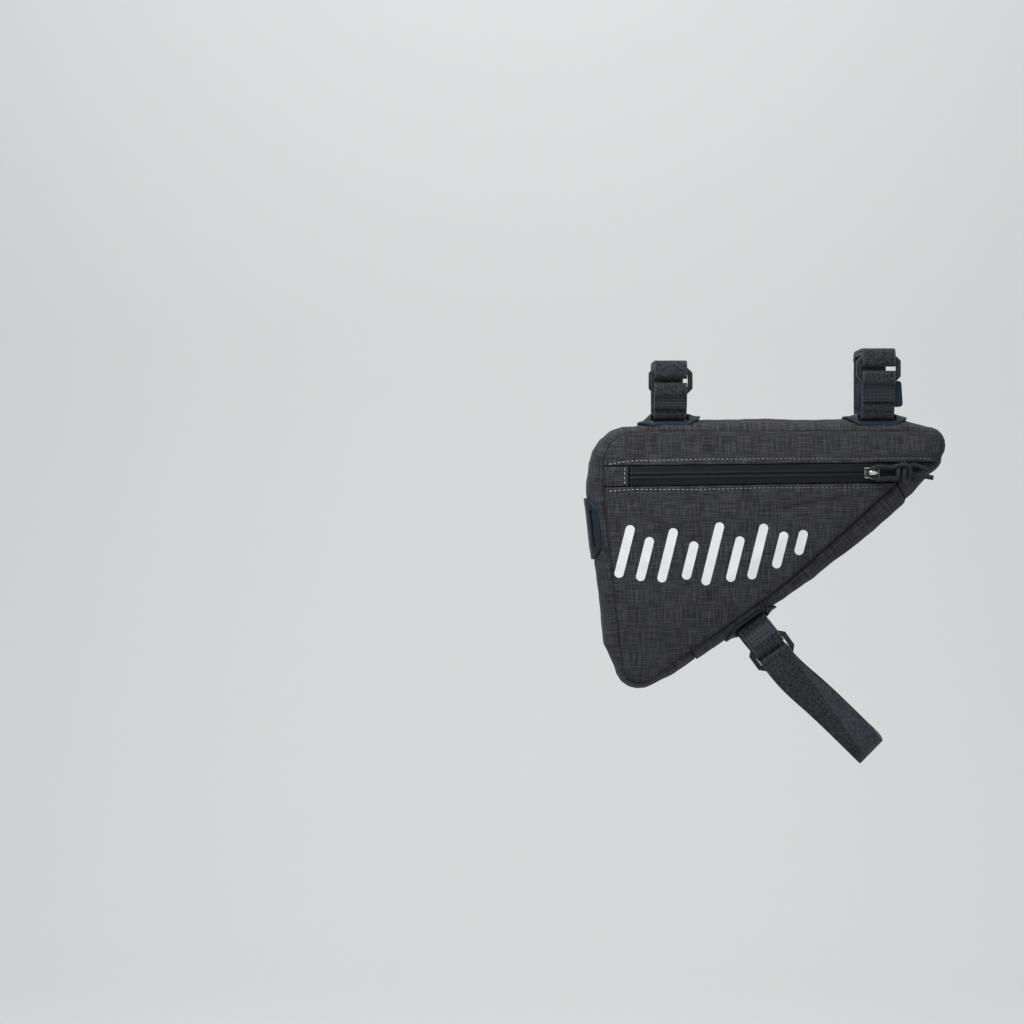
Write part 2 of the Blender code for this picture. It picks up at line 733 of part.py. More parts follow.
def zip_slider(metal):
    """The slider's flared plate with a bridge over it for the cord."""
    left = PANEL_LEFT + SLIDER_FROM_END
    right = left + SLIDER_LENGTH
    middle = zip_centre((left + right) / 2)
    half, flare = SLIDER_WIDTH / 2, SLIDER_FLARE
    border = [
        (left, -half), (mix(left, right, 0.15), -half), (mix(left, right, 0.7), -half - flare),
        (right, -half - flare), (right, half + flare), (mix(left, right, 0.7), half + flare),
        (mix(left, right, 0.15), half), (left, half),
    ]  # fmt: skip
    foot = max(wall_face(Vector((x, middle + z))) for x, z in border) - TAPE_RECESS + GAP
    top = foot + SLIDER_THICKNESS
    skins = [[(x, -y, middle + z) for x, z in border] for y in (top, foot)]
    plate = wall_body("zip_slider", *skins, [tuple(range(len(border)))], metal)
    start = left + BRIDGE_SETBACK + BRIDGE_WALL / 2
    end = start + BRIDGE_LENGTH - BRIDGE_WALL
    crest = top + CORD_DIAMETER + 2 * GAP + BRIDGE_WALL / 2
    sunk = top - SLIDER_THICKNESS / 2
    bend = BRIDGE_WALL
    path = bent_path([(start, -sunk, 0), (start, -crest, bend), (end, -crest, bend), (end, -sunk, 0)])

    def place(spot):
        wide = mix(BRIDGE_WIDTH, BRIDGE_WIDTH * 0.62, (spot.x - start) / (end - start)) / 2
        return [(spot.x, spot.y, middle - wide), (spot.x, spot.y, middle + wide)]

    skins = ribbon(path, BRIDGE_WALL, place)
    bridge = wall_body("slider_bridge_cutter", *skins, grid_skin(len(path), 2), metal)
    bridge.hide_render = True
    bridge.display_type = "WIRE"
    joined = plate.modifiers.new("bridge", "BOOLEAN")
    joined.operation = "UNION"
    joined.object = bridge
    soften(plate, 0.0003)


def zip_centre(x):
    """The height of the zip's middle line at x."""
    return PANEL_TOP - ZIP_DROP + ZIP_RISE * (x - PANEL_LEFT) / PANEL_LENGTH


def cord_tube(name, route, cord):
    """A stretch of round cord along a route."""
    curve = bpy.data.curves.new(name, "CURVE")
    curve.dimensions = "3D"
    curve.bevel_depth = CORD_DIAMETER / 2
    curve.bevel_resolution = 2
    curve.use_fill_caps = True
    spline = curve.splines.new("POLY")
    spline.points.add(len(route) - 1)
    for point, spot in zip(spline.points, route):
        point.co = (*spot, 1.0)
    curve.materials.append(cord)
    thing = bpy.data.objects.new(name, curve)
    bpy.context.scene.collection.objects.link(thing)


def cord_pull(cord):
    """The knotted cord that is looped through the slider's bridge."""
    cord_tube("pull_cord_upper", CORD_UPPER, cord)
    cord_tube("pull_cord_lower", CORD_LOWER, cord)
    cord_tube("pull_tail_upper", TAIL_UPPER, cord)
    cord_tube("pull_tail_lower", TAIL_LOWER, cord)
    work = bmesh.new()
    bmesh.ops.create_icosphere(work, subdivisions=2, radius=1.0)
    bmesh.ops.scale(work, vec=KNOT_HALF, verts=work.verts)
    bmesh.ops.translate(work, vec=KNOT_MIDDLE, verts=work.verts)
    mesh = bpy.data.meshes.new("pull_knot")
    work.to_mesh(mesh)
    work.free()
    placed("pull_knot", mesh, cord)


def bag():
    fabric = finish("charcoal_fabric", (0.045, 0.045, 0.052), 0.85)
    coated = finish("coated_zip_tape", (0.012, 0.012, 0.014), 0.55)
    rubber = finish("rubbery_sheet", (0.014, 0.015, 0.017), 0.6)
    webbing = finish("hook_and_loop_webbing", (0.017, 0.019, 0.024), 0.9)
    plastic = finish("black_plastic", (0.016, 0.016, 0.018), 0.4)
    nickel = finish("nickel", (0.62, 0.61, 0.58), 0.3, 1.0)
    cord = finish("dark_cord", (0.020, 0.021, 0.022), 0.8)

    side_walls(fabric, coated)
    band(fabric)

    rear_run, front_run = run_over(-STRAP_SPACING / 2), run_over(STRAP_SPACING / 2)
    lower_run, side_run = run_on(*LOWER_PATCH), run_on(*SIDE_PATCH)
    open_slit, tunnel_rise = (SLIT_INNER, SLIT_OUTER), STRAP_THICKNESS + GAP
    patch("patch_top_rear", rear_run, 0.0, open_slit, tunnel_rise, rubber)
    patch("patch_top_front", front_run, 0.0, open_slit, tunnel_rise, rubber)
    patch("patch_lower", lower_run, LOWER_BAND_STEP, open_slit, tunnel_rise, rubber)
    closed_slit = mix(SLIT_INNER, SLIT_OUTER, 0.5)
    slit = (closed_slit - EMPTY_SLIT / 2, closed_slit + EMPTY_SLIT / 2)
    patch("patch_side", side_run, 0.0, slit, EMPTY_RISE, rubber)

    strap_loop("strap_top_rear", REAR_STRAP, rear_run, 0.0, webbing)
    strap_loop("strap_top_front", FRONT_STRAP, front_run, 0.0, webbing)
    strap_loop("strap_lower", LOWER_STRAP, lower_run, LOWER_BAND_STEP, webbing)
    ring_buckle("buckle_top_rear", REAR_STRAP, rear_run, plastic)
    ring_buckle("buckle_top_front", FRONT_STRAP, front_run, plastic)
    ring_buckle("buckle_lower", LOWER_STRAP, lower_run, plastic)
    grip_pad(FRONT_STRAP, front_run, rubber)

    zip_slider(nickel)
    cord_pull(cord)


for leftover in list(bpy.data.objects):
    bpy.data.objects.remove(leftover, do_unlink=True)
bag()
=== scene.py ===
"""The looks of a small triangular bicycle frame bag, hung as on a bicycle's top tube."""

import math

import bmesh
import bpy
import numpy as np
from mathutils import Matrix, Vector


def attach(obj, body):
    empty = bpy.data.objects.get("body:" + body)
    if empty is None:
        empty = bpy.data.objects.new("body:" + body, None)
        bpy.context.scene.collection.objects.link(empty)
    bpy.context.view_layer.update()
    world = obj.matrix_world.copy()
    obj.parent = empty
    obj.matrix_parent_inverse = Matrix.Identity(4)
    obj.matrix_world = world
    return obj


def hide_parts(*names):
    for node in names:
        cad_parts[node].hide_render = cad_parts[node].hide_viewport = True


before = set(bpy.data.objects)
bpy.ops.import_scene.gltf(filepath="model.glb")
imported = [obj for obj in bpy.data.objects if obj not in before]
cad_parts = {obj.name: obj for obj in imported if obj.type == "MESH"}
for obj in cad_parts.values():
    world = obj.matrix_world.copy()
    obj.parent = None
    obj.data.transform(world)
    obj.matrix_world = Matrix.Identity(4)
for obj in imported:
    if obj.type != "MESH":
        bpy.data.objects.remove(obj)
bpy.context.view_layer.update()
bpy.ops.object.select_all(action="DESELECT")

# The studio. The bag hangs in front of a pale sweep that runs from the floor up the wall.
# A soft lamp stands close above to the left, a weaker one in front, and one lights the wall.
FLOOR_Z = -0.62
SWEEP_DEPTH = 1.9
SWEEP_HEIGHT = 2.6
EYE = (-0.1755, -1.625, -0.0807)
FRAME_WIDTH = 0.6827
SENSOR = 36.0
STUDIO_COLOUR = (0.80, 0.80, 0.795, 1.0)


def plain_finish(name, colour, roughness):
    """A material of one colour."""
    made = bpy.data.materials.new(name)
    made.use_nodes = True
    shader = made.node_tree.nodes["Principled BSDF"]
    shader.inputs["Base Color"].default_value = colour
    shader.inputs["Roughness"].default_value = roughness
    return made


def chosen(keep, kind="FACE"):
    """Selects the parts of the mesh in edit mode that keep says yes to."""
    bpy.ops.mesh.select_mode(type=kind)
    bpy.ops.mesh.select_all(action="DESELECT")
    work = bmesh.from_edit_mesh(bpy.context.edit_object.data)
    parts = {"FACE": work.faces, "EDGE": work.edges, "VERT": work.verts}[kind]
    for part in parts:
        if keep(part):
            part.select_set(True)
    work.select_flush_mode()
    bmesh.update_edit_mesh(bpy.context.edit_object.data)


bpy.ops.mesh.primitive_plane_add(size=6.0, location=(0.0, SWEEP_DEPTH - 3.0, FLOOR_Z))
sweep = bpy.context.object
sweep.name = "sweep"
bpy.ops.object.mode_set(mode="EDIT")
chosen(lambda edge: all(v.co.y > 0 for v in edge.verts), "EDGE")
bpy.ops.mesh.extrude_region_move(TRANSFORM_OT_translate={"value": (0, 0, SWEEP_HEIGHT)})
chosen(lambda edge: all(v.co.y > 0 and v.co.z < 0.1 for v in edge.verts), "EDGE")
bpy.ops.mesh.bevel(offset=0.8, segments=16)
bpy.ops.object.mode_set(mode="OBJECT")
bpy.ops.object.shade_smooth()
sweep.data.materials.append(plain_finish("studio_sweep", STUDIO_COLOUR, 0.9))
sweep.select_set(False)


def soft_lamp(name, place, aim, width, power):
    """A square lamp with a soft edge, turned towards a point."""
    bpy.ops.object.light_add(type="AREA", location=place)
    lamp = bpy.context.object
    lamp.name = name
    lamp.data.size = width
    lamp.data.energy = power
    lamp.rotation_euler = (Vector(aim) - Vector(place)).to_track_quat("-Z", "Y").to_euler()
    lamp.select_set(False)


soft_lamp("key_lamp", (-0.24, -0.42, 0.42), (0.0, 0.0, -0.08), 0.36, 4.3)
soft_lamp("front_lamp", (0.9, -1.8, 0.3), (0.0, 0.0, -0.1), 1.4, 3.0)
soft_lamp("sweep_lamp", (-0.2, 0.5, 1.5), (-0.2, 1.9, -0.1), 1.2, 14.0)

world = bpy.data.worlds.new("studio_air")
world.use_nodes = True
world.node_tree.nodes["Background"].inputs["Color"].default_value = (0.95, 0.97, 1.0, 1.0)
world.node_tree.nodes["Background"].inputs["Strength"].default_value = 0.50
bpy.context.scene.world = world
bpy.context.scene.view_settings.view_transform = "Standard"

bpy.ops.object.camera_add(location=EYE, rotation=(math.pi / 2, 0.0, 0.0))
camera = bpy.context.object
camera.data.sensor_width = SENSOR
camera.data.lens = SENSOR * (-EYE[1] - 0.025) / FRAME_WIDTH
bpy.context.scene.camera = camera
camera.select_set(False)

# The pull cord. One braided cord is folded in two: the bight lies crosswise under the
# slider's bridge, and both halves run right into one knot and end in short cut tails.
CORD_DIAMETER = 0.0032
BRAID_PITCH = 0.0011
CORD_UPPER = (
    (0.0646, -0.0330, -0.0547),
    (0.0647, -0.0330, -0.0530),
    (0.0656, -0.0330, -0.0515),
    (0.0673, -0.0330, -0.0508),
    (0.0698, -0.0328, -0.0507),
    (0.0728, -0.0321, -0.0509),
    (0.0758, -0.0314, -0.0511),
    (0.0788, -0.0318, -0.0506),
    (0.0818, -0.0334, -0.0497),
    (0.0849, -0.0342, -0.0494),
    (0.0874, -0.0338, -0.0506),
    (0.0886, -0.0334, -0.0531),
    (0.0884, -0.0326, -0.0557),
    (0.0873, -0.0308, -0.0572),
    (0.0865, -0.0292, -0.0560),
    (0.0867, -0.0287, -0.0532),
    (0.0881, -0.0288, -0.0507),
    (0.0905, -0.0289, -0.0496),
    (0.0933, -0.0288, -0.0497),
    (0.0960, -0.0286, -0.0505),
    (0.0986, -0.0285, -0.0515),
    (0.1011, -0.0284, -0.0527),
)
CORD_LOWER = (
    (0.0646, -0.0330, -0.0550),
    (0.0647, -0.0330, -0.0567),
    (0.0656, -0.0330, -0.0582),
    (0.0673, -0.0330, -0.0590),
    (0.0698, -0.0327, -0.0590),
    (0.0728, -0.0319, -0.0586),
    (0.0758, -0.0312, -0.0582),
    (0.0785, -0.0315, -0.0585),
    (0.0803, -0.0333, -0.0576),
    (0.0808, -0.0343, -0.0551),
    (0.0811, -0.0331, -0.0529),
    (0.0821, -0.0308, -0.0524),
    (0.0829, -0.0292, -0.0541),
    (0.0832, -0.0292, -0.0568),
    (0.0836, -0.0311, -0.0589),
    (0.0842, -0.0336, -0.0580),
    (0.0847, -0.0347, -0.0554),
    (0.0851, -0.0334, -0.0530),
    (0.0859, -0.0308, -0.0527),
    (0.0874, -0.0291, -0.0541),
    (0.0898, -0.0287, -0.0551),
    (0.0931, -0.0286, -0.0561),
    (0.0970, -0.0285, -0.0567),
    (0.1009, -0.0284, -0.0573),
    (0.1047, -0.0283, -0.0579),
)


class Wire:
    """A value in a material's tree, which adds its Math nodes when it is calculated with."""

    def __init__(self, tree, socket):
        self.tree = tree
        self.socket = socket

    def node(self, kind, settings, inputs, output=0):
        """Adds any node and gives one of its outputs."""
        made = self.tree.nodes.new(kind)
        for name, value in settings.items():
            setattr(made, name, value)
        for name, value in inputs.items():
            if isinstance(value, Wire):
                self.tree.links.new(value.socket, made.inputs[name])
            else:
                made.inputs[name].default_value = value
        return Wire(self.tree, made.outputs[output])

    def math(self, operation, *values):
        return self.node("ShaderNodeMath", {"operation": operation}, dict(enumerate(values)))

    def __add__(self, other):
        return self.math("ADD", self, other)

    def __sub__(self, other):
        return self.math("SUBTRACT", self, other)

    def __rsub__(self, other):
        return self.math("SUBTRACT", other, self)

    def __mul__(self, other):
        return self.math("MULTIPLY", self, other)

    def __truediv__(self, other):
        return self.math("DIVIDE", self, other)

    def __abs__(self):
        return self.math("ABSOLUTE", self)

    __radd__ = __add__
    __rmul__ = __mul__

    def wave(self, length):
        """A wave of that length, from 0 to 1."""
        return self.math("SINE", self * (2 * math.pi / length)) * 0.5 + 0.5

    def between(self, low, high):
        """Rises smoothly from 0 at low to 1 at high."""
        limits = {"Value": self, "From Min": low, "From Max": high}
        return self.node("ShaderNodeMapRange", {"interpolation_type": "SMOOTHSTEP"}, limits)

    def axis(self, name):
        return self.node("ShaderNodeSeparateXYZ", {}, {"Vector": self}, name)

    def noise(self, scale, stretch=(1.0, 1.0, 1.0), detail=2.0):
        """Noise over these coordinates, with its grain longer where stretch is smaller."""
        spread = self.node("ShaderNodeVectorMath", {"operation": "MULTIPLY"}, {0: self, 1: stretch})
        grain = {"Vector": spread, "Scale": scale, "Detail": detail}
        return self.node("ShaderNodeTexNoise", {}, grain)

    def tint(self, dark, light):
        """The colour between two others at this share."""
        shades = {0: self, 6: (*dark, 1.0), 7: (*light, 1.0)}
        return self.node("ShaderNodeMix", {"data_type": "RGBA"}, shades, 2)


def start_finish(name, attribute=None, **constants):
    """A new material, its shader, and the coordinates that its pattern lies on."""
    made = bpy.data.materials.new(name)
    made.use_nodes = True
    tree = made.node_tree
    shader = tree.nodes["Principled BSDF"]
    for key, value in constants.items():
        shader.inputs[key.replace("_", " ")].default_value = value
    if attribute:
        source = tree.nodes.new("ShaderNodeAttribute")
        source.attribute_name = attribute
        return made, shader, Wire(tree, source.outputs["Vector"])
    return made, shader, Wire(tree, tree.nodes.new("ShaderNodeTexCoord").outputs["Object"])


def feed(shader, height, depth, **links):
    """Links the values that vary, and a bump of that depth in metres."""
    for key, wire in links.items():
        wire.tree.links.new(wire.socket, shader.inputs[key.replace("_", " ")])
    bump = height.node("ShaderNodeBump", {}, {"Height": height, "Distance": depth, "Strength": 1.0})
    bump.tree.links.new(bump.socket, shader.inputs["Normal"])


def braided_cord():
    made, shader, place = start_finish("braided_cord", Roughness=0.75, Specular_IOR_Level=0.35)
    lean = place.axis("Z") * 0.8 + place.axis("Y") * 0.6
    braid = (place.axis("X") + lean).wave(BRAID_PITCH) * (place.axis("X") - lean).wave(BRAID_PITCH)
    fuzz = place.noise(1800.0)
    feed(
        shader,
        braid + fuzz * 0.4,
        0.0002,
        Base_Color=(braid * 0.7 + fuzz * 0.5).tint((0.0015, 0.002, 0.0025), (0.028, 0.031, 0.034)),
    )
    return made


def round_curve(name, points, diameter, roundness, fineness):
    """A round bar or cord along a smooth curve through the points."""
    line = bpy.data.curves.new(name, "CURVE")
    line.dimensions = "3D"
    line.bevel_depth = diameter / 2
    line.bevel_resolution = roundness
    line.use_fill_caps = True
    line.resolution_u = fineness
    spline = line.splines.new("BEZIER")
    spline.bezier_points.add(len(points) - 1)
    for knot, point in zip(spline.bezier_points, points):
        knot.co = point
        knot.handle_left_type = "AUTO"
        knot.handle_right_type = "AUTO"
    thing = bpy.data.objects.new(name, line)
    bpy.context.collection.objects.link(thing)
    return thing


cord_finish = braided_cord()
for cord_name, cord_points, cord_nodes in (
    ("pull_half_upper", CORD_UPPER, ("pull_cord_upper", "pull_tail_upper", "pull_knot")),
    ("pull_half_lower", CORD_LOWER, ("pull_cord_lower", "pull_tail_lower")),
):
    half = round_curve(cord_name, cord_points, CORD_DIAMETER, 5, 4)
    half.data.materials.append(cord_finish)
    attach(half, "root")
    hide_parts(*cord_nodes)

# The cloth walls. Heather polyester over thin foam: the zipped wall in an upper and a
# lower piece with a square tab between them, and the plain wall behind. Each is turned
# in along its rim and sewn to the band, which pulls it into small puckers.
CLOTH_GRAIN = 0.0007
WALL_HELP = 0.0004
WEAVE_PITCH = 0.0011
SEAM_SHADOW = (0.0001, 0.0014)
RIM_ROLL = 0.0030
RIM_TUCK = 0.6
PUCKER_LENGTH = 0.0075
PUCKER_DRIFT = 0.021
WALL_PUCKER = 0.00022
WALL_SWELLS = ((0.00055, 0.062), (0.00018, 0.023))
HEM_STITCHED = (0.00035, 0.0030, 0.0007)
HEM_EDGE = (0.00025, 0.0014, 0.0011)
ZIP_CENTRE = (-0.0569, -0.0541)
ZIP_HALF = (0.0069, 0.0065)
ZIP_ENDS = (-0.0975, 0.1055)


def wide_share(x):
    """How far x lies along the zip, from 0 to 1."""
    return (x - ZIP_ENDS[0]) / (ZIP_ENDS[1] - ZIP_ENDS[0])


def zip_offset(x, z):
    """How far above the zip's middle line a point lies, and half the window there."""
    along = wide_share(x)
    middle = ZIP_CENTRE[0] + (ZIP_CENTRE[1] - ZIP_CENTRE[0]) * along
    return z - middle, ZIP_HALF[0] + (ZIP_HALF[1] - ZIP_HALF[0]) * along


def seam_corners():
    """The seam line as the plain wall's inner rim gives it, in order round the bag."""
    points = np.array([v.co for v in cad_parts["back_panel"].data.vertices])
    rim = points[np.abs(points[:, 1] - points[:, 1].min()) < 0.00005][:, [0, 2]]
    rim = np.unique(np.round(rim, 6), axis=0)
    middle = rim.mean(axis=0)
    order = np.argsort(np.arctan2(rim[:, 1] - middle[1], rim[:, 0] - middle[0]))
    return rim[order]


SEAM = seam_corners()


def along_seam(points):
    """For flat points: how far round and how far inside the seam, and the way out of it."""
    ends = np.roll(SEAM, -1, axis=0)
    steps = ends - SEAM
    lengths = np.linalg.norm(steps, axis=1)
    starts = np.concatenate([[0.0], np.cumsum(lengths)[:-1]])
    run = np.zeros(len(points))
    nearest = np.full(len(points), 1.0)
    inside = np.zeros(len(points))
    out = np.zeros((len(points), 2))
    for start, step, length, begun in zip(SEAM, steps, lengths, starts):
        away = points - start
        share = np.clip(away @ step / length**2, 0.0, 1.0)
        gap = np.linalg.norm(away - share[:, None] * step, axis=1)
        closer = gap < nearest
        side = (step[0] * away[:, 1] - step[1] * away[:, 0]) / length
        run[closer] = (begun + share * length)[closer]
        inside[closer] = np.where(side >= 0, gap, -gap)[closer]
        out[closer] = (step[1] / length, -step[0] / length)
        nearest[closer] = gap[closer]
    return run, inside, out


def ripple(u, v, length):
    """Slow uneven waves of about that length, from -1 to 1."""
    k = 2 * math.pi / length
    waves = np.sin(k * (u + 0.31 * v) + 0.7) + np.sin(k * (0.47 * v - 0.83 * u) * 0.71 + 2.1)
    return (waves + np.sin(k * (v * 0.9 + u * 0.2) * 1.37 + 4.0)) / 3


def seam_tug(run):
    """How the seam's thread pulls the cloth in and out along its run, from -1 to 1."""
    return np.sin(2 * math.pi * run / PUCKER_LENGTH + 2 * np.sin(run / PUCKER_DRIFT))


def bell(distance, height, middle, spread):
    """A smooth ridge of that height."""
    return height * np.exp(-(((distance - middle) / spread) ** 2))


def only(piece):
    """Selects one piece and makes it the active one."""
    bpy.ops.object.select_all(action="DESELECT")
    piece.select_set(True)
    bpy.context.view_layer.objects.active = piece


def apply_modifier(piece, kind, **settings):
    added = piece.modifiers.new(kind.lower(), kind)
    for key, value in settings.items():
        setattr(added, key, value)
    bpy.ops.object.modifier_apply(modifier=added.name)


def joined_copy(node, name):
    """A copy of a CAD node with its loose triangles joined, as the active object."""
    piece = bpy.data.objects.new(name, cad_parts[node].data.copy())
    piece.data.materials.clear()
    bpy.context.collection.objects.link(piece)
    only(piece)
    bpy.ops.object.mode_set(mode="EDIT")
    bpy.ops.mesh.select_all(action="SELECT")
    bpy.ops.mesh.remove_doubles(threshold=0.00001)
    bpy.ops.mesh.tris_convert_to_quads()
    bpy.ops.object.mode_set(mode="OBJECT")
    return piece


def fine_copy(node, name, grain, rounds=4, swell=WALL_HELP):
    """A copy of a CAD node as a fine even mesh, kept whole by swelling it meanwhile."""
    piece = joined_copy(node, name)
    apply_modifier(piece, "DISPLACE", strength=swell, mid_level=0.0)
    apply_modifier(piece, "REMESH", mode="VOXEL", voxel_size=grain)
    apply_modifier(piece, "SMOOTH", factor=0.5, iterations=rounds)
    apply_modifier(piece, "DISPLACE", strength=-swell, mid_level=0.0)
    bpy.ops.object.shade_smooth()
    return piece


def finished(piece, material, slot, *nodes):
    """Gives a piece its material and its body, and hides the CAD nodes that it stands for."""
    piece.data.materials.append(material)
    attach(piece, "root")
    if nodes:
        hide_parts(*nodes)
    piece.select_set(False)


def mesh_points(piece):
    points = np.empty(len(piece.data.vertices) * 3)
    piece.data.vertices.foreach_get("co", points)
    return points.reshape(-1, 3)


def reshape_to(piece, points, weave):
    """Gives a piece its final points, and the cloth's own coordinates for its pattern."""
    piece.data.vertices.foreach_set("co", points.ravel())
    cloth = piece.data.attributes.new("weave", "FLOAT_VECTOR", "POINT")
    cloth.data.foreach_set("vector", weave.astype(np.float32).ravel())
    piece.data.update()


def heather_cloth():
    """Two-tone polyester, with lighter slubs in the warp and the weft."""
    made, shader, place = start_finish(
        "heather_cloth", "weave", Roughness=0.9, Specular_IOR_Level=0.2, Sheen_Weight=0.04
    )
    warp = place.noise(1.0, (1450.0, 70.0, 1.0), 3.0).between(0.38, 0.72)
    weft = place.noise(1.0, (80.0, 1450.0, 1.0), 3.0).between(0.38, 0.72)
    slub = place.noise(1.0, (1200.0, 240.0, 1.0), 2.0).between(0.60, 0.78)
    cloud = place.noise(60.0, detail=3.0)
    along, across = (place.axis(name).wave(WEAVE_PITCH) for name in "XY")
    weave = along * across + (1 - along) * (1 - across)
    # Painted shade: the cloth is drawn darker within SEAM_SHADOW of each seam, for the shade in the
    # seam's groove.
    clear_of_seam_shadow = place.axis("Z").between(*SEAM_SHADOW) * 0.8 + 0.2
    shade = warp * 0.34 + weft * 0.34 + slub * 0.18 + weave * 0.10 + cloud * 0.10
    feed(
        shader,
        weave * 0.6 + warp * 0.25 + weft * 0.25,
        0.00016,
        Base_Color=(shade * clear_of_seam_shadow).tint((0.0035, 0.0035, 0.0045), (0.088, 0.089, 0.101)),
    )
    return made


heather = heather_cloth()
CLOTH_WALLS = (
    ("front_panel_upper", "front_wall_upper", -1),
    ("front_panel_lower", "front_wall_lower", -1),
    ("zip_end_tab", "zip_tab", -1),
    ("back_panel", "back_wall", 1),
)
for node, wall_name, side in CLOTH_WALLS:
    wall = fine_copy(node, wall_name, CLOTH_GRAIN)
    spots = mesh_points(wall)
    run, inside, _ = along_seam(spots[:, [0, 2]])
    inside = np.maximum(inside, 0.0)
    roll = np.clip(1 - inside / RIM_ROLL, 0.0, 1.0)
    out = -RIM_ROLL * RIM_TUCK * (1 - np.sqrt(1 - roll**2))
    near_seam = np.exp(-inside / 0.0045) * np.clip(inside / 0.001, 0.0, 1.0)
    out += WALL_PUCKER * seam_tug(run) * near_seam
    free = 1 - np.exp(-inside / 0.012)
    (broad, broad_length), (small, small_length) = WALL_SWELLS
    out += free * broad * ripple(spots[:, 0], spots[:, 2], broad_length)
    out += free * small * ripple(spots[:, 2], spots[:, 0], small_length)
    if side < 0:
        above, half = zip_offset(spots[:, 0], spots[:, 2])
        hem = np.abs(above) - half
        out += bell(hem, *HEM_EDGE) - bell(hem, *HEM_STITCHED)
    weave = np.column_stack([spots[:, 0], spots[:, 2], inside])
    spots[:, 1] += side * out
    reshape_to(wall, spots, weave)
    finished(wall, heather, "fabric", node)

# The band between the walls. The same cloth in two lengths: one wraps the ends and the
# top, the other runs along the lower edge and is lapped over it at two cross seams.
BAND_HALF = 0.0232
BAND_ROLL = 0.0013
BAND_PUCKER = 0.0003
BAND_SWELLS = ((0.0006, 0.047), (0.00025, 0.016))
for node, band_name in (("gusset_wrap", "band_wrap"), ("gusset_lower", "band_lower")):
    band = fine_copy(node, band_name, CLOTH_GRAIN, 3)
    spots = mesh_points(band)
    run, _, outward = along_seam(spots[:, [0, 2]])
    inside = np.clip(BAND_HALF - np.abs(spots[:, 1]), 0.0, BAND_HALF)
    (broad, broad_length), (small, small_length) = BAND_SWELLS
    share = inside / BAND_HALF
    out = broad * ripple(run, spots[:, 1], broad_length) * np.minimum(1.0, share * 4)
    out += small * ripple(spots[:, 1], run, small_length) * np.minimum(1.0, share * 6)
    out += BAND_PUCKER * seam_tug(run) * np.exp(-inside / 0.004)
    out -= BAND_ROLL * np.exp(-inside / 0.0011)
    weave = np.column_stack([run, spots[:, 1], inside])
    spots[:, [0, 2]] += outward * out[:, None]
    reshape_to(band, spots, weave)
    finished(band, heather, "fabric", node)

# The zip. Coated tape with its coil behind it, so the front shows two tape edges that meet
# in a fine line between two low ridges. It lies a little below the hems of the walls.
TAPE_GRAIN = 0.0005
MEETING_LINE = (0.0006, 0.0, 0.00045)
COIL_RIDGE = (0.0004, 0.0015, 0.0007)
TAPE_SWELL = (0.00018, 0.041)
TOOTH_PITCH = 0.0016
TWILL_PITCH = 0.0007


def coated_tape():
    made, shader, place = start_finish("coated_tape", "weave", Specular_IOR_Level=0.2)
    across = place.axis("Y")
    teeth = place.axis("X").wave(TOOTH_PITCH) * (1 - abs(across).between(0.0012, 0.0024))
    twill = (place.axis("X") + across * 1.4).wave(TWILL_PITCH)
    dust = place.noise(240.0, detail=4.0)
    feed(
        shader,
        teeth * 0.7 + twill * 0.3,
        0.00012,
        Base_Color=(twill * 0.3 + dust * 0.7).tint((0.0006, 0.001, 0.0015), (0.005, 0.0068, 0.0085)),
        Roughness=dust * 0.25 + 0.42,
    )
    return made


tape = fine_copy("zip_tape", "zip_tape_cloth", TAPE_GRAIN, 2, 0.0003)
spots = mesh_points(tape)
above, _ = zip_offset(spots[:, 0], spots[:, 2])
out = bell(np.abs(above), *COIL_RIDGE) - bell(above, *MEETING_LINE)
out += TAPE_SWELL[0] * ripple(spots[:, 0], spots[:, 2], TAPE_SWELL[1])
weave = np.column_stack([spots[:, 0], above, np.zeros(len(spots))])
spots[:, 1] -= out
reshape_to(tape, spots, weave)
finished(tape, coated_tape(), "coated", "zip_tape")

# The slider. A cast zinc plate that flares towards the closed side, plated and bright along its
# edges, with a dark sunk face and a small bar bridge that the folded cord is threaded under.
PLATE_LOW = Vector((0.0590, -0.0302, -0.0582))
PLATE_HIGH = Vector((0.0686, -0.0286, -0.0512))
PLATE_FLARE = 1.36
PLATE_RIM = 0.0007
PLATE_SUNK = 0.0005
BRIDGE_ROUTE = (
    (0.0612, -0.0298, 0.9),
    (0.0609, -0.0322, 0.9),
    (0.0613, -0.0343, 1.0),
    (0.0624, -0.0353, 1.1),
    (0.0640, -0.0354, 1.0),
    (0.0656, -0.0352, 0.75),
    (0.0668, -0.0344, 0.6),
    (0.0674, -0.0327, 0.55),
    (0.0676, -0.0298, 0.55),
)
BRIDGE_MIDDLE = -0.0548
BRIDGE_THICKNESS = 0.0011
BRIDGE_FLATNESS = 2.5


def plated_zinc():
    made, shader, place = start_finish("plated_zinc", Metallic=1.0)
    wear = place.noise(700.0, detail=4.0)
    pits = place.noise(3200.0, detail=2.0)
    feed(
        shader,
        pits,
        0.00004,
        Base_Color=wear.tint((0.42, 0.42, 0.41), (0.80, 0.79, 0.77)),
        Roughness=wear * 0.30 + 0.16,
    )
    return made


def dark_face_zinc():
    made, shader, place = start_finish("dark_face_zinc", Metallic=0.9)
    # The sunk face is drawn near black with a mottled tone, darker than the plated rim round it.
    mottle = place.noise(900.0, detail=4.0)
    feed(
        shader,
        mottle,
        0.00005,
        Base_Color=mottle.tint((0.015, 0.016, 0.017), (0.085, 0.085, 0.085)),
        Roughness=mottle * 0.3 + 0.35,
    )
    return made


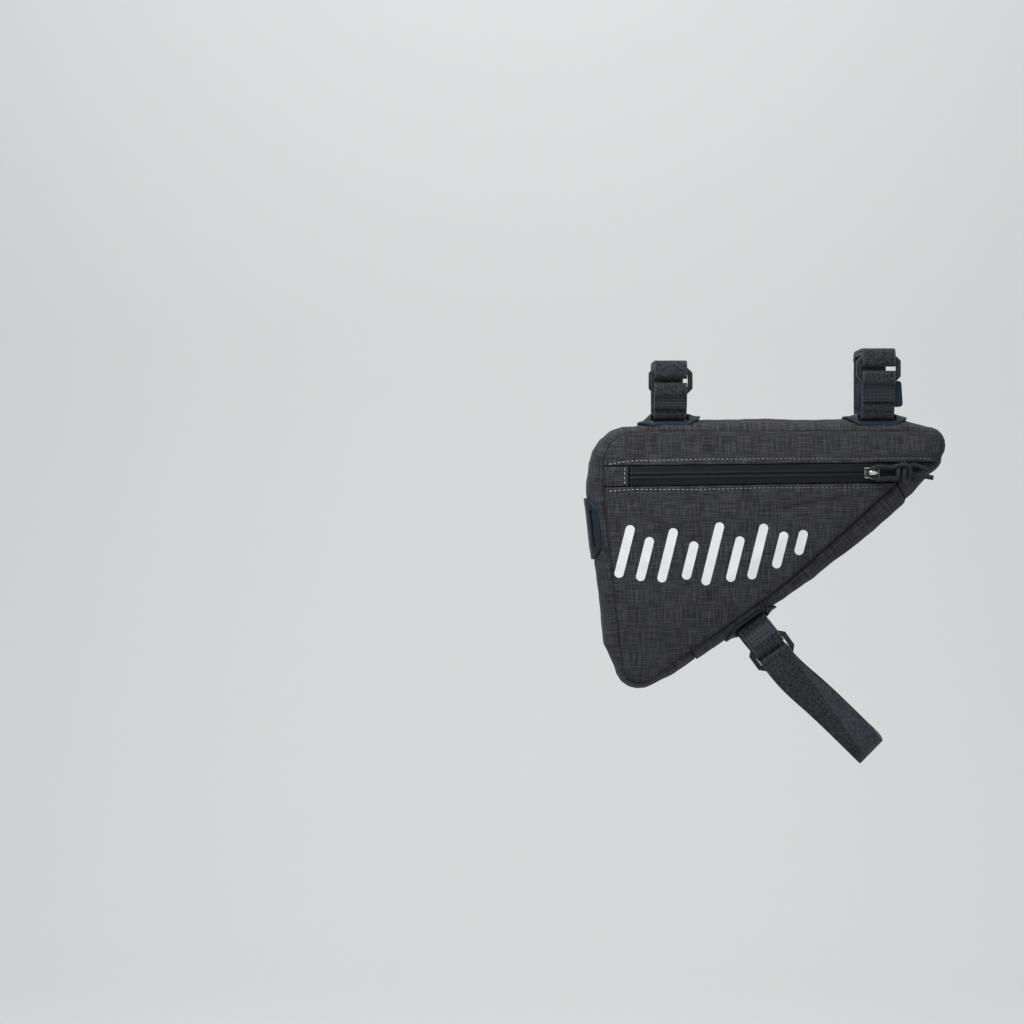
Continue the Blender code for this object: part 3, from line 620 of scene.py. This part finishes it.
bpy.ops.object.select_all(action="DESELECT")
bpy.ops.mesh.primitive_cube_add(size=1.0, location=(PLATE_LOW + PLATE_HIGH) / 2)
plate = bpy.context.object
plate.name = "slider_plate"
plate.scale = PLATE_HIGH - PLATE_LOW
bpy.ops.object.transform_apply(location=True, rotation=False, scale=True)
bpy.ops.object.mode_set(mode="EDIT")
bpy.ops.mesh.select_all(action="SELECT")
bpy.ops.mesh.subdivide(number_cuts=2)
half_way = (PLATE_LOW.x + PLATE_HIGH.x) / 2
chosen(lambda vertex: vertex.co.x > half_way, "VERT")
flare_middle = (PLATE_HIGH.x, PLATE_LOW.y, (PLATE_LOW.z + PLATE_HIGH.z) / 2)
bpy.ops.transform.resize(value=(1.0, 1.0, PLATE_FLARE), center_override=flare_middle)
chosen(lambda face: face.normal.y < -0.9)
bpy.ops.mesh.inset(thickness=PLATE_RIM, depth=0.0)
bpy.ops.transform.translate(value=(0.0, PLATE_SUNK, 0.0))
bpy.ops.object.mode_set(mode="OBJECT")
apply_modifier(plate, "BEVEL", width=0.00022, segments=3, limit_method="ANGLE")
bpy.ops.object.shade_smooth_by_angle(angle=math.radians(50))
zinc = plated_zinc()
plate.data.materials.append(zinc)
plate.data.materials.append(dark_face_zinc())
for face in plate.data.polygons:
    sunk = face.normal.y < -0.9 and face.center.y > PLATE_LOW.y + PLATE_SUNK * 0.6
    face.material_index = 1 if sunk else 0
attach(plate, "root")
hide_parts("zip_slider")
plate.select_set(False)

arch = [(x, y, BRIDGE_MIDDLE) for x, y, _ in BRIDGE_ROUTE]
bridge = round_curve("slider_bridge", arch, BRIDGE_THICKNESS, 6, 6)
for knot, (_, _, thick) in zip(bridge.data.splines[0].bezier_points, BRIDGE_ROUTE):
    knot.radius = thick
only(bridge)
bpy.ops.object.convert(target="MESH")
bpy.ops.object.mode_set(mode="EDIT")
bpy.ops.mesh.select_all(action="SELECT")
bridge_centre = (0.064, -0.033, BRIDGE_MIDDLE)
bpy.ops.transform.resize(value=(1.0, 1.0, BRIDGE_FLATNESS), center_override=bridge_centre)
bpy.ops.object.mode_set(mode="OBJECT")
bpy.ops.object.shade_smooth()
finished(bridge, zinc, "nickel")

# The patches. Dark rubbery sheet, sewn to the band by its rim, with a raised bridge that
# the strap runs under. One on the left end is left empty.
PATCH_GRAIN = 0.00045


def rubbery_sheet():
    made, shader, place = start_finish("rubbery_sheet", Specular_IOR_Level=0.3)
    pebble = place.noise(1900.0, detail=2.0)
    scuff = place.noise(160.0, detail=5.0)
    feed(
        shader,
        pebble + scuff * 0.3,
        0.00010,
        Base_Color=(scuff * 0.6 + pebble * 0.4).tint((0.0008, 0.0055, 0.009), (0.006, 0.024, 0.035)),
        Roughness=scuff * 0.3 + 0.42,
    )
    return made


rubber = rubbery_sheet()
for side in ("top_rear", "top_front", "side", "lower"):
    sheet = fine_copy("patch_" + side, "patch_sheet_" + side, PATCH_GRAIN, 2, 0.0001)
    finished(sheet, rubber, "rubber", "patch_" + side)

# The straps. Black hook-and-loop webbing, 22 mm wide: one end is folded round the ring's
# lower bar, the long end goes through the patch, round the tube and back through the ring.
STRAP_WIDTH = 0.022
WOVEN_EDGE = 0.0014
EDGE_RIDGE = 0.0009
RIB_PITCH = 0.0009
STRAP_SEATS = {
    "top_rear": ((-0.0695, -0.0263), (0.0, 1.0)),
    "top_front": ((0.0695, -0.0263), (0.0, 1.0)),
    "lower": ((-0.02011, -0.14823), (0.58123, -0.81374)),
}


def loop_webbing():
    """Fuzzy loops on a flat weave, with a tighter woven edge."""
    made, shader, place = start_finish(
        "loop_webbing", "weave", Roughness=0.95, Specular_IOR_Level=0.2, Sheen_Weight=0.08
    )
    loops = place.noise(1500.0, detail=3.0).between(0.38, 0.68)
    tufts = place.noise(560.0, detail=3.0).between(0.25, 0.75)
    edge = abs(place.axis("X")).between(STRAP_WIDTH / 2 - WOVEN_EDGE, STRAP_WIDTH / 2 - EDGE_RIDGE)
    ribs = place.axis("Y").wave(RIB_PITCH)
    height = (loops * 0.8 + tufts * 0.6) * (1 - edge) + edge * (ribs * 0.5 + 0.2)
    shade = loops * 0.45 + tufts * 0.45 + edge * 0.25
    feed(
        shader,
        height,
        0.00022,
        Base_Color=shade.tint((0.0008, 0.001, 0.0018), (0.060, 0.063, 0.076)),
    )
    return made


webbing = loop_webbing()
strap_pieces = {}
for side, (seat, out_of_bag) in STRAP_SEATS.items():
    strap = joined_copy("strap_" + side, "webbing_" + side)
    apply_modifier(
        strap,
        "BEVEL",
        width=0.0004,
        segments=2,
        limit_method="ANGLE",
        angle_limit=math.radians(50),
    )
    apply_modifier(strap, "SUBSURF", levels=2, render_levels=2)
    bpy.ops.object.shade_smooth()
    spots = mesh_points(strap)
    flat = spots[:, [0, 2]] - np.array(seat)
    out = np.array(out_of_bag)
    across = flat @ np.array((out[1], -out[0]))
    weave = np.column_stack([across, flat @ out, spots[:, 1]])
    reshape_to(strap, spots, weave)
    finished(strap, webbing, "webbing", "strap_" + side)
    strap_pieces[side] = strap

# The non-slip lattice on each folded end. A thin rubbery grid with rows of small dark pits,
# moulded on the webbing just below the ring.
LATTICE_PROUD = 0.0005
PIT_DEPTH = 0.0004
PIT_WALL = 0.0005
LATTICES = {
    "top_rear": (0.0184, 8, 4, (0.0026, 0.0022)),
    "top_front": (0.0254, 8, 5, (0.0026, 0.0024)),
    "lower": (0.0176, 8, 4, (0.0025, 0.0022)),
}


def lattice_rubber(name, dark, light):
    made, shader, place = start_finish(name, Roughness=0.6, Specular_IOR_Level=0.3)
    grain = place.noise(1500.0, detail=3.0)
    feed(shader, grain, 0.00008, Base_Color=grain.tint(dark, light))
    return made


lattice_finish = lattice_rubber("lattice_rubber", (0.003, 0.005, 0.008), (0.022, 0.029, 0.038))
# Painted shade: the pit floors get a near-black finish, darker than the lattice and the webbing, for
# the shade in the hollows.
pit_shade_finish = lattice_rubber("lattice_pit_shade", (0.0005, 0.0005, 0.001), (0.002, 0.002, 0.003))
for side, (height, columns, rows, (wide, tall)) in LATTICES.items():
    bpy.ops.object.select_all(action="DESELECT")
    bpy.ops.mesh.primitive_grid_add(x_subdivisions=columns, y_subdivisions=rows, size=1.0)
    lattice = bpy.context.object
    lattice.name = "lattice_" + side
    lattice.scale = (columns * wide, rows * tall, 1.0)
    lattice.rotation_euler = (math.pi / 2, 0.0, 0.0)
    lattice.location = (0.0, -0.05, height)
    bpy.ops.object.transform_apply(location=True, rotation=True, scale=True)
    (seat_x, seat_z), out = STRAP_SEATS[side]
    lattice.rotation_euler = (0.0, math.atan2(*out), 0.0)
    lattice.location = (seat_x, 0.0, seat_z)
    bpy.ops.object.transform_apply(location=True, rotation=True, scale=False)
    bpy.ops.object.mode_set(mode="EDIT")
    bpy.ops.mesh.select_all(action="SELECT")
    bpy.ops.mesh.inset(thickness=PIT_WALL, use_individual=True)
    bpy.ops.mesh.inset(thickness=0.0001, use_individual=True)
    bpy.ops.object.mode_set(mode="OBJECT")
    apply_modifier(
        lattice,
        "SHRINKWRAP",
        wrap_method="PROJECT",
        target=strap_pieces[side],
        use_project_y=True,
        use_negative_direction=True,
        use_positive_direction=True,
        offset=LATTICE_PROUD,
    )
    bpy.ops.object.mode_set(mode="EDIT")
    bpy.ops.transform.translate(value=(0.0, PIT_DEPTH, 0.0))
    bpy.ops.object.mode_set(mode="OBJECT")
    for face in lattice.data.polygons:
        face.material_index = 1 if face.select else 0
    apply_modifier(lattice, "SOLIDIFY", thickness=0.0003, offset=-1.0)
    apply_modifier(lattice, "SUBSURF", levels=2, render_levels=2)
    bpy.ops.object.shade_smooth()
    finished(lattice, lattice_finish, "rubber")
    lattice.data.materials.append(pit_shade_finish)

# The ring buckles. Plain moulded rings in black acetal, with softened edges that catch the
# light. The strap's fold and its free run hold each one flat against the tube.


def satin_acetal():
    made, shader, place = start_finish("satin_acetal", Specular_IOR_Level=0.4)
    mould = place.noise(420.0, detail=4.0)
    grain = place.noise(3000.0, detail=2.0)
    feed(
        shader,
        grain,
        0.00003,
        Base_Color=mould.tint((0.002, 0.0025, 0.003), (0.009, 0.0095, 0.010)),
        Roughness=mould * 0.22 + 0.26,
    )
    return made


acetal = satin_acetal()
for side in STRAP_SEATS:
    ring = joined_copy("buckle_" + side, "ring_" + side)
    bpy.ops.object.shade_smooth_by_angle(angle=math.radians(35))
    finished(ring, acetal, "plastic", "buckle_" + side)

# The grip pad. A soft moulded pad behind the front strap, with its corners cut, which keeps
# the strap from turning round the tube.
pad = joined_copy("grip_pad", "grip_pad_rubber")
bpy.ops.object.shade_smooth_by_angle(angle=math.radians(35))
finished(pad, rubber, "rubber", "grip_pad")

# The print. Plain slanted bars in white reflective film, pressed on the lower wall, so they
# follow its swells and let a little of the weave through.
BAR_WIDTH = 0.0062
BAR_SLANT = math.radians(14)
BAR_STEP = 0.002
FILM = 0.00012
BARS = (
    (-0.1005, -0.1070, 0.036),
    (-0.0870, -0.1120, 0.030),
    (-0.0720, -0.1095, 0.037),
    (-0.0570, -0.1130, 0.026),
    (-0.0420, -0.1085, 0.043),
    (-0.0270, -0.1120, 0.031),
    (-0.0120, -0.1070, 0.038),
    (0.0030, -0.1060, 0.025),
    (0.0170, -0.1010, 0.017),
)


def reflective_film():
    made, shader, place = start_finish("reflective_film", Roughness=0.5)
    beads = place.noise(2600.0, detail=2.0)
    rubbed = place.noise(130.0, detail=5.0)
    cloth = place.axis("X").wave(WEAVE_PITCH) * place.axis("Z").wave(WEAVE_PITCH)
    feed(
        shader,
        beads * 0.4 + cloth,
        0.00005,
        Base_Color=(rubbed * 0.7 + cloth * 0.3).tint((0.62, 0.63, 0.64), (0.86, 0.86, 0.86)),
    )
    return made


bars = []
for x, z, tall in BARS:
    bpy.ops.object.select_all(action="DESELECT")
    bpy.ops.mesh.primitive_circle_add(vertices=32, radius=BAR_WIDTH / 2, fill_type="NGON")
    bar = bpy.context.object
    bar.rotation_euler = (math.pi / 2, 0.0, 0.0)
    bpy.ops.object.transform_apply(location=False, rotation=True, scale=False)
    bpy.ops.object.mode_set(mode="EDIT")
    for way in (-1, 1):
        chosen(lambda vertex: vertex.co.z * way > 0.00001, "VERT")
        bpy.ops.transform.translate(value=(0.0, 0.0, way * (tall - BAR_WIDTH) / 2))
    cuts = int(tall / BAR_STEP)
    for i in range(1, cuts):
        bpy.ops.mesh.select_all(action="SELECT")
        level = (0.0, 0.0, tall * (i / cuts - 0.5))
        bpy.ops.mesh.bisect(plane_co=level, plane_no=(0.0, 0.0, 1.0))
    for way in (-1, 1):
        bpy.ops.mesh.select_all(action="SELECT")
        bpy.ops.mesh.bisect(plane_co=(way * BAR_WIDTH / 6, 0.0, 0.0), plane_no=(1.0, 0.0, 0.0))
    bpy.ops.object.mode_set(mode="OBJECT")
    bar.rotation_euler = (0.0, BAR_SLANT, 0.0)
    bar.location = (x, -0.06, z)
    bpy.ops.object.transform_apply(location=True, rotation=True, scale=False)
    bars.append(bar)
for bar in bars:
    bar.select_set(True)
bpy.ops.object.join()
printed = bpy.context.object
printed.name = "print_bars"
apply_modifier(
    printed,
    "SHRINKWRAP",
    wrap_method="PROJECT",
    target=bpy.data.objects["front_wall_lower"],
    use_project_y=True,
    use_negative_direction=True,
    use_positive_direction=True,
    offset=FILM / 2,
)
apply_modifier(printed, "SOLIDIFY", thickness=FILM, offset=1.0)
finished(printed, reflective_film(), "fabric")

# The stitches. Light grey thread along both hems and down the tab, 3 mm to a stitch, each
# drawn a little into the cloth.
STITCH_PITCH = 0.003
STITCH_LENGTH = 0.0021
THREAD = 0.00055
STITCH_ROWS = {
    "hem_upper": (
        (-0.1115, -0.0490),
        (-0.0968, -0.0467),
        (-0.0502, -0.0457),
        (-0.0102, -0.0453),
        (0.1038, -0.0450),
    ),
    "hem_lower": (
        (-0.1112, -0.0670),
        (-0.0968, -0.0658),
        (-0.0502, -0.0657),
        (-0.0102, -0.0647),
        (0.0698, -0.0640),
    ),
    "tab": ((-0.1005, -0.0507), (-0.1005, -0.0622)),
}


def sewing_thread():
    made, shader, place = start_finish("sewing_thread", Roughness=0.75, Sheen_Weight=0.2)
    twist = (place.axis("X") + place.axis("Z")).wave(0.0007)
    # Painted light: the thread is drawn light grey at the left and dark towards the right, as the
    # light on it falls off across the bag.
    painted_light_falloff = place.axis("X").between(-0.10, 0.07)
    feed(
        shader,
        twist,
        0.00008,
        Base_Color=(painted_light_falloff * 0.85 + twist * 0.15).tint((0.36, 0.36, 0.37), (0.085, 0.085, 0.09)),
    )
    return made


def on_cloth(x, z):
    """Where the zipped wall's front lies at that place."""
    hits = []
    for name in ("front_wall_upper", "front_wall_lower", "zip_tab"):
        found, place, _, _ = bpy.data.objects[name].ray_cast((x, -0.1, z), (0.0, 1.0, 0.0))
        if found:
            hits.append(place)
    return min(hits, key=lambda place: place.y)


bpy.context.view_layer.update()
thread = sewing_thread()
for row_name, corners in STITCH_ROWS.items():
    flat = []
    for start, end in zip(corners, corners[1:]):
        steps = max(2, int(math.dist(start, end) / STITCH_PITCH))
        flat += [Vector(start).lerp(Vector(end), i / steps) for i in range(steps)]
    flat.append(Vector(corners[-1]))
    route = bpy.data.curves.new(row_name + "_route", "CURVE")
    route.dimensions = "3D"
    line = route.splines.new("POLY")
    line.points.add(len(flat) - 1)
    for knot, spot in zip(line.points, flat):
        knot.co = (*on_cloth(spot.x, spot.y), 1.0)
    guide = bpy.data.objects.new(row_name + "_route", route)
    bpy.context.collection.objects.link(guide)
    bpy.ops.object.select_all(action="DESELECT")
    bpy.ops.mesh.primitive_uv_sphere_add(
        segments=8, ring_count=6, radius=1.0, location=(STITCH_PITCH / 2, 0.0, 0.0)
    )
    row = bpy.context.object
    row.name = "stitches_" + row_name
    row.scale = (STITCH_LENGTH / 2, THREAD / 2, THREAD / 2)
    bpy.ops.object.transform_apply(location=True, rotation=False, scale=True)
    bpy.ops.object.shade_smooth()
    apply_modifier(
        row,
        "ARRAY",
        fit_type="FIT_CURVE",
        curve=guide,
        use_relative_offset=False,
        use_constant_offset=True,
        constant_offset_displace=(STITCH_PITCH, 0.0, 0.0),
    )
    apply_modifier(row, "CURVE", object=guide, deform_axis="POS_X")
    bpy.data.objects.remove(guide)
    finished(row, thread, "cord")
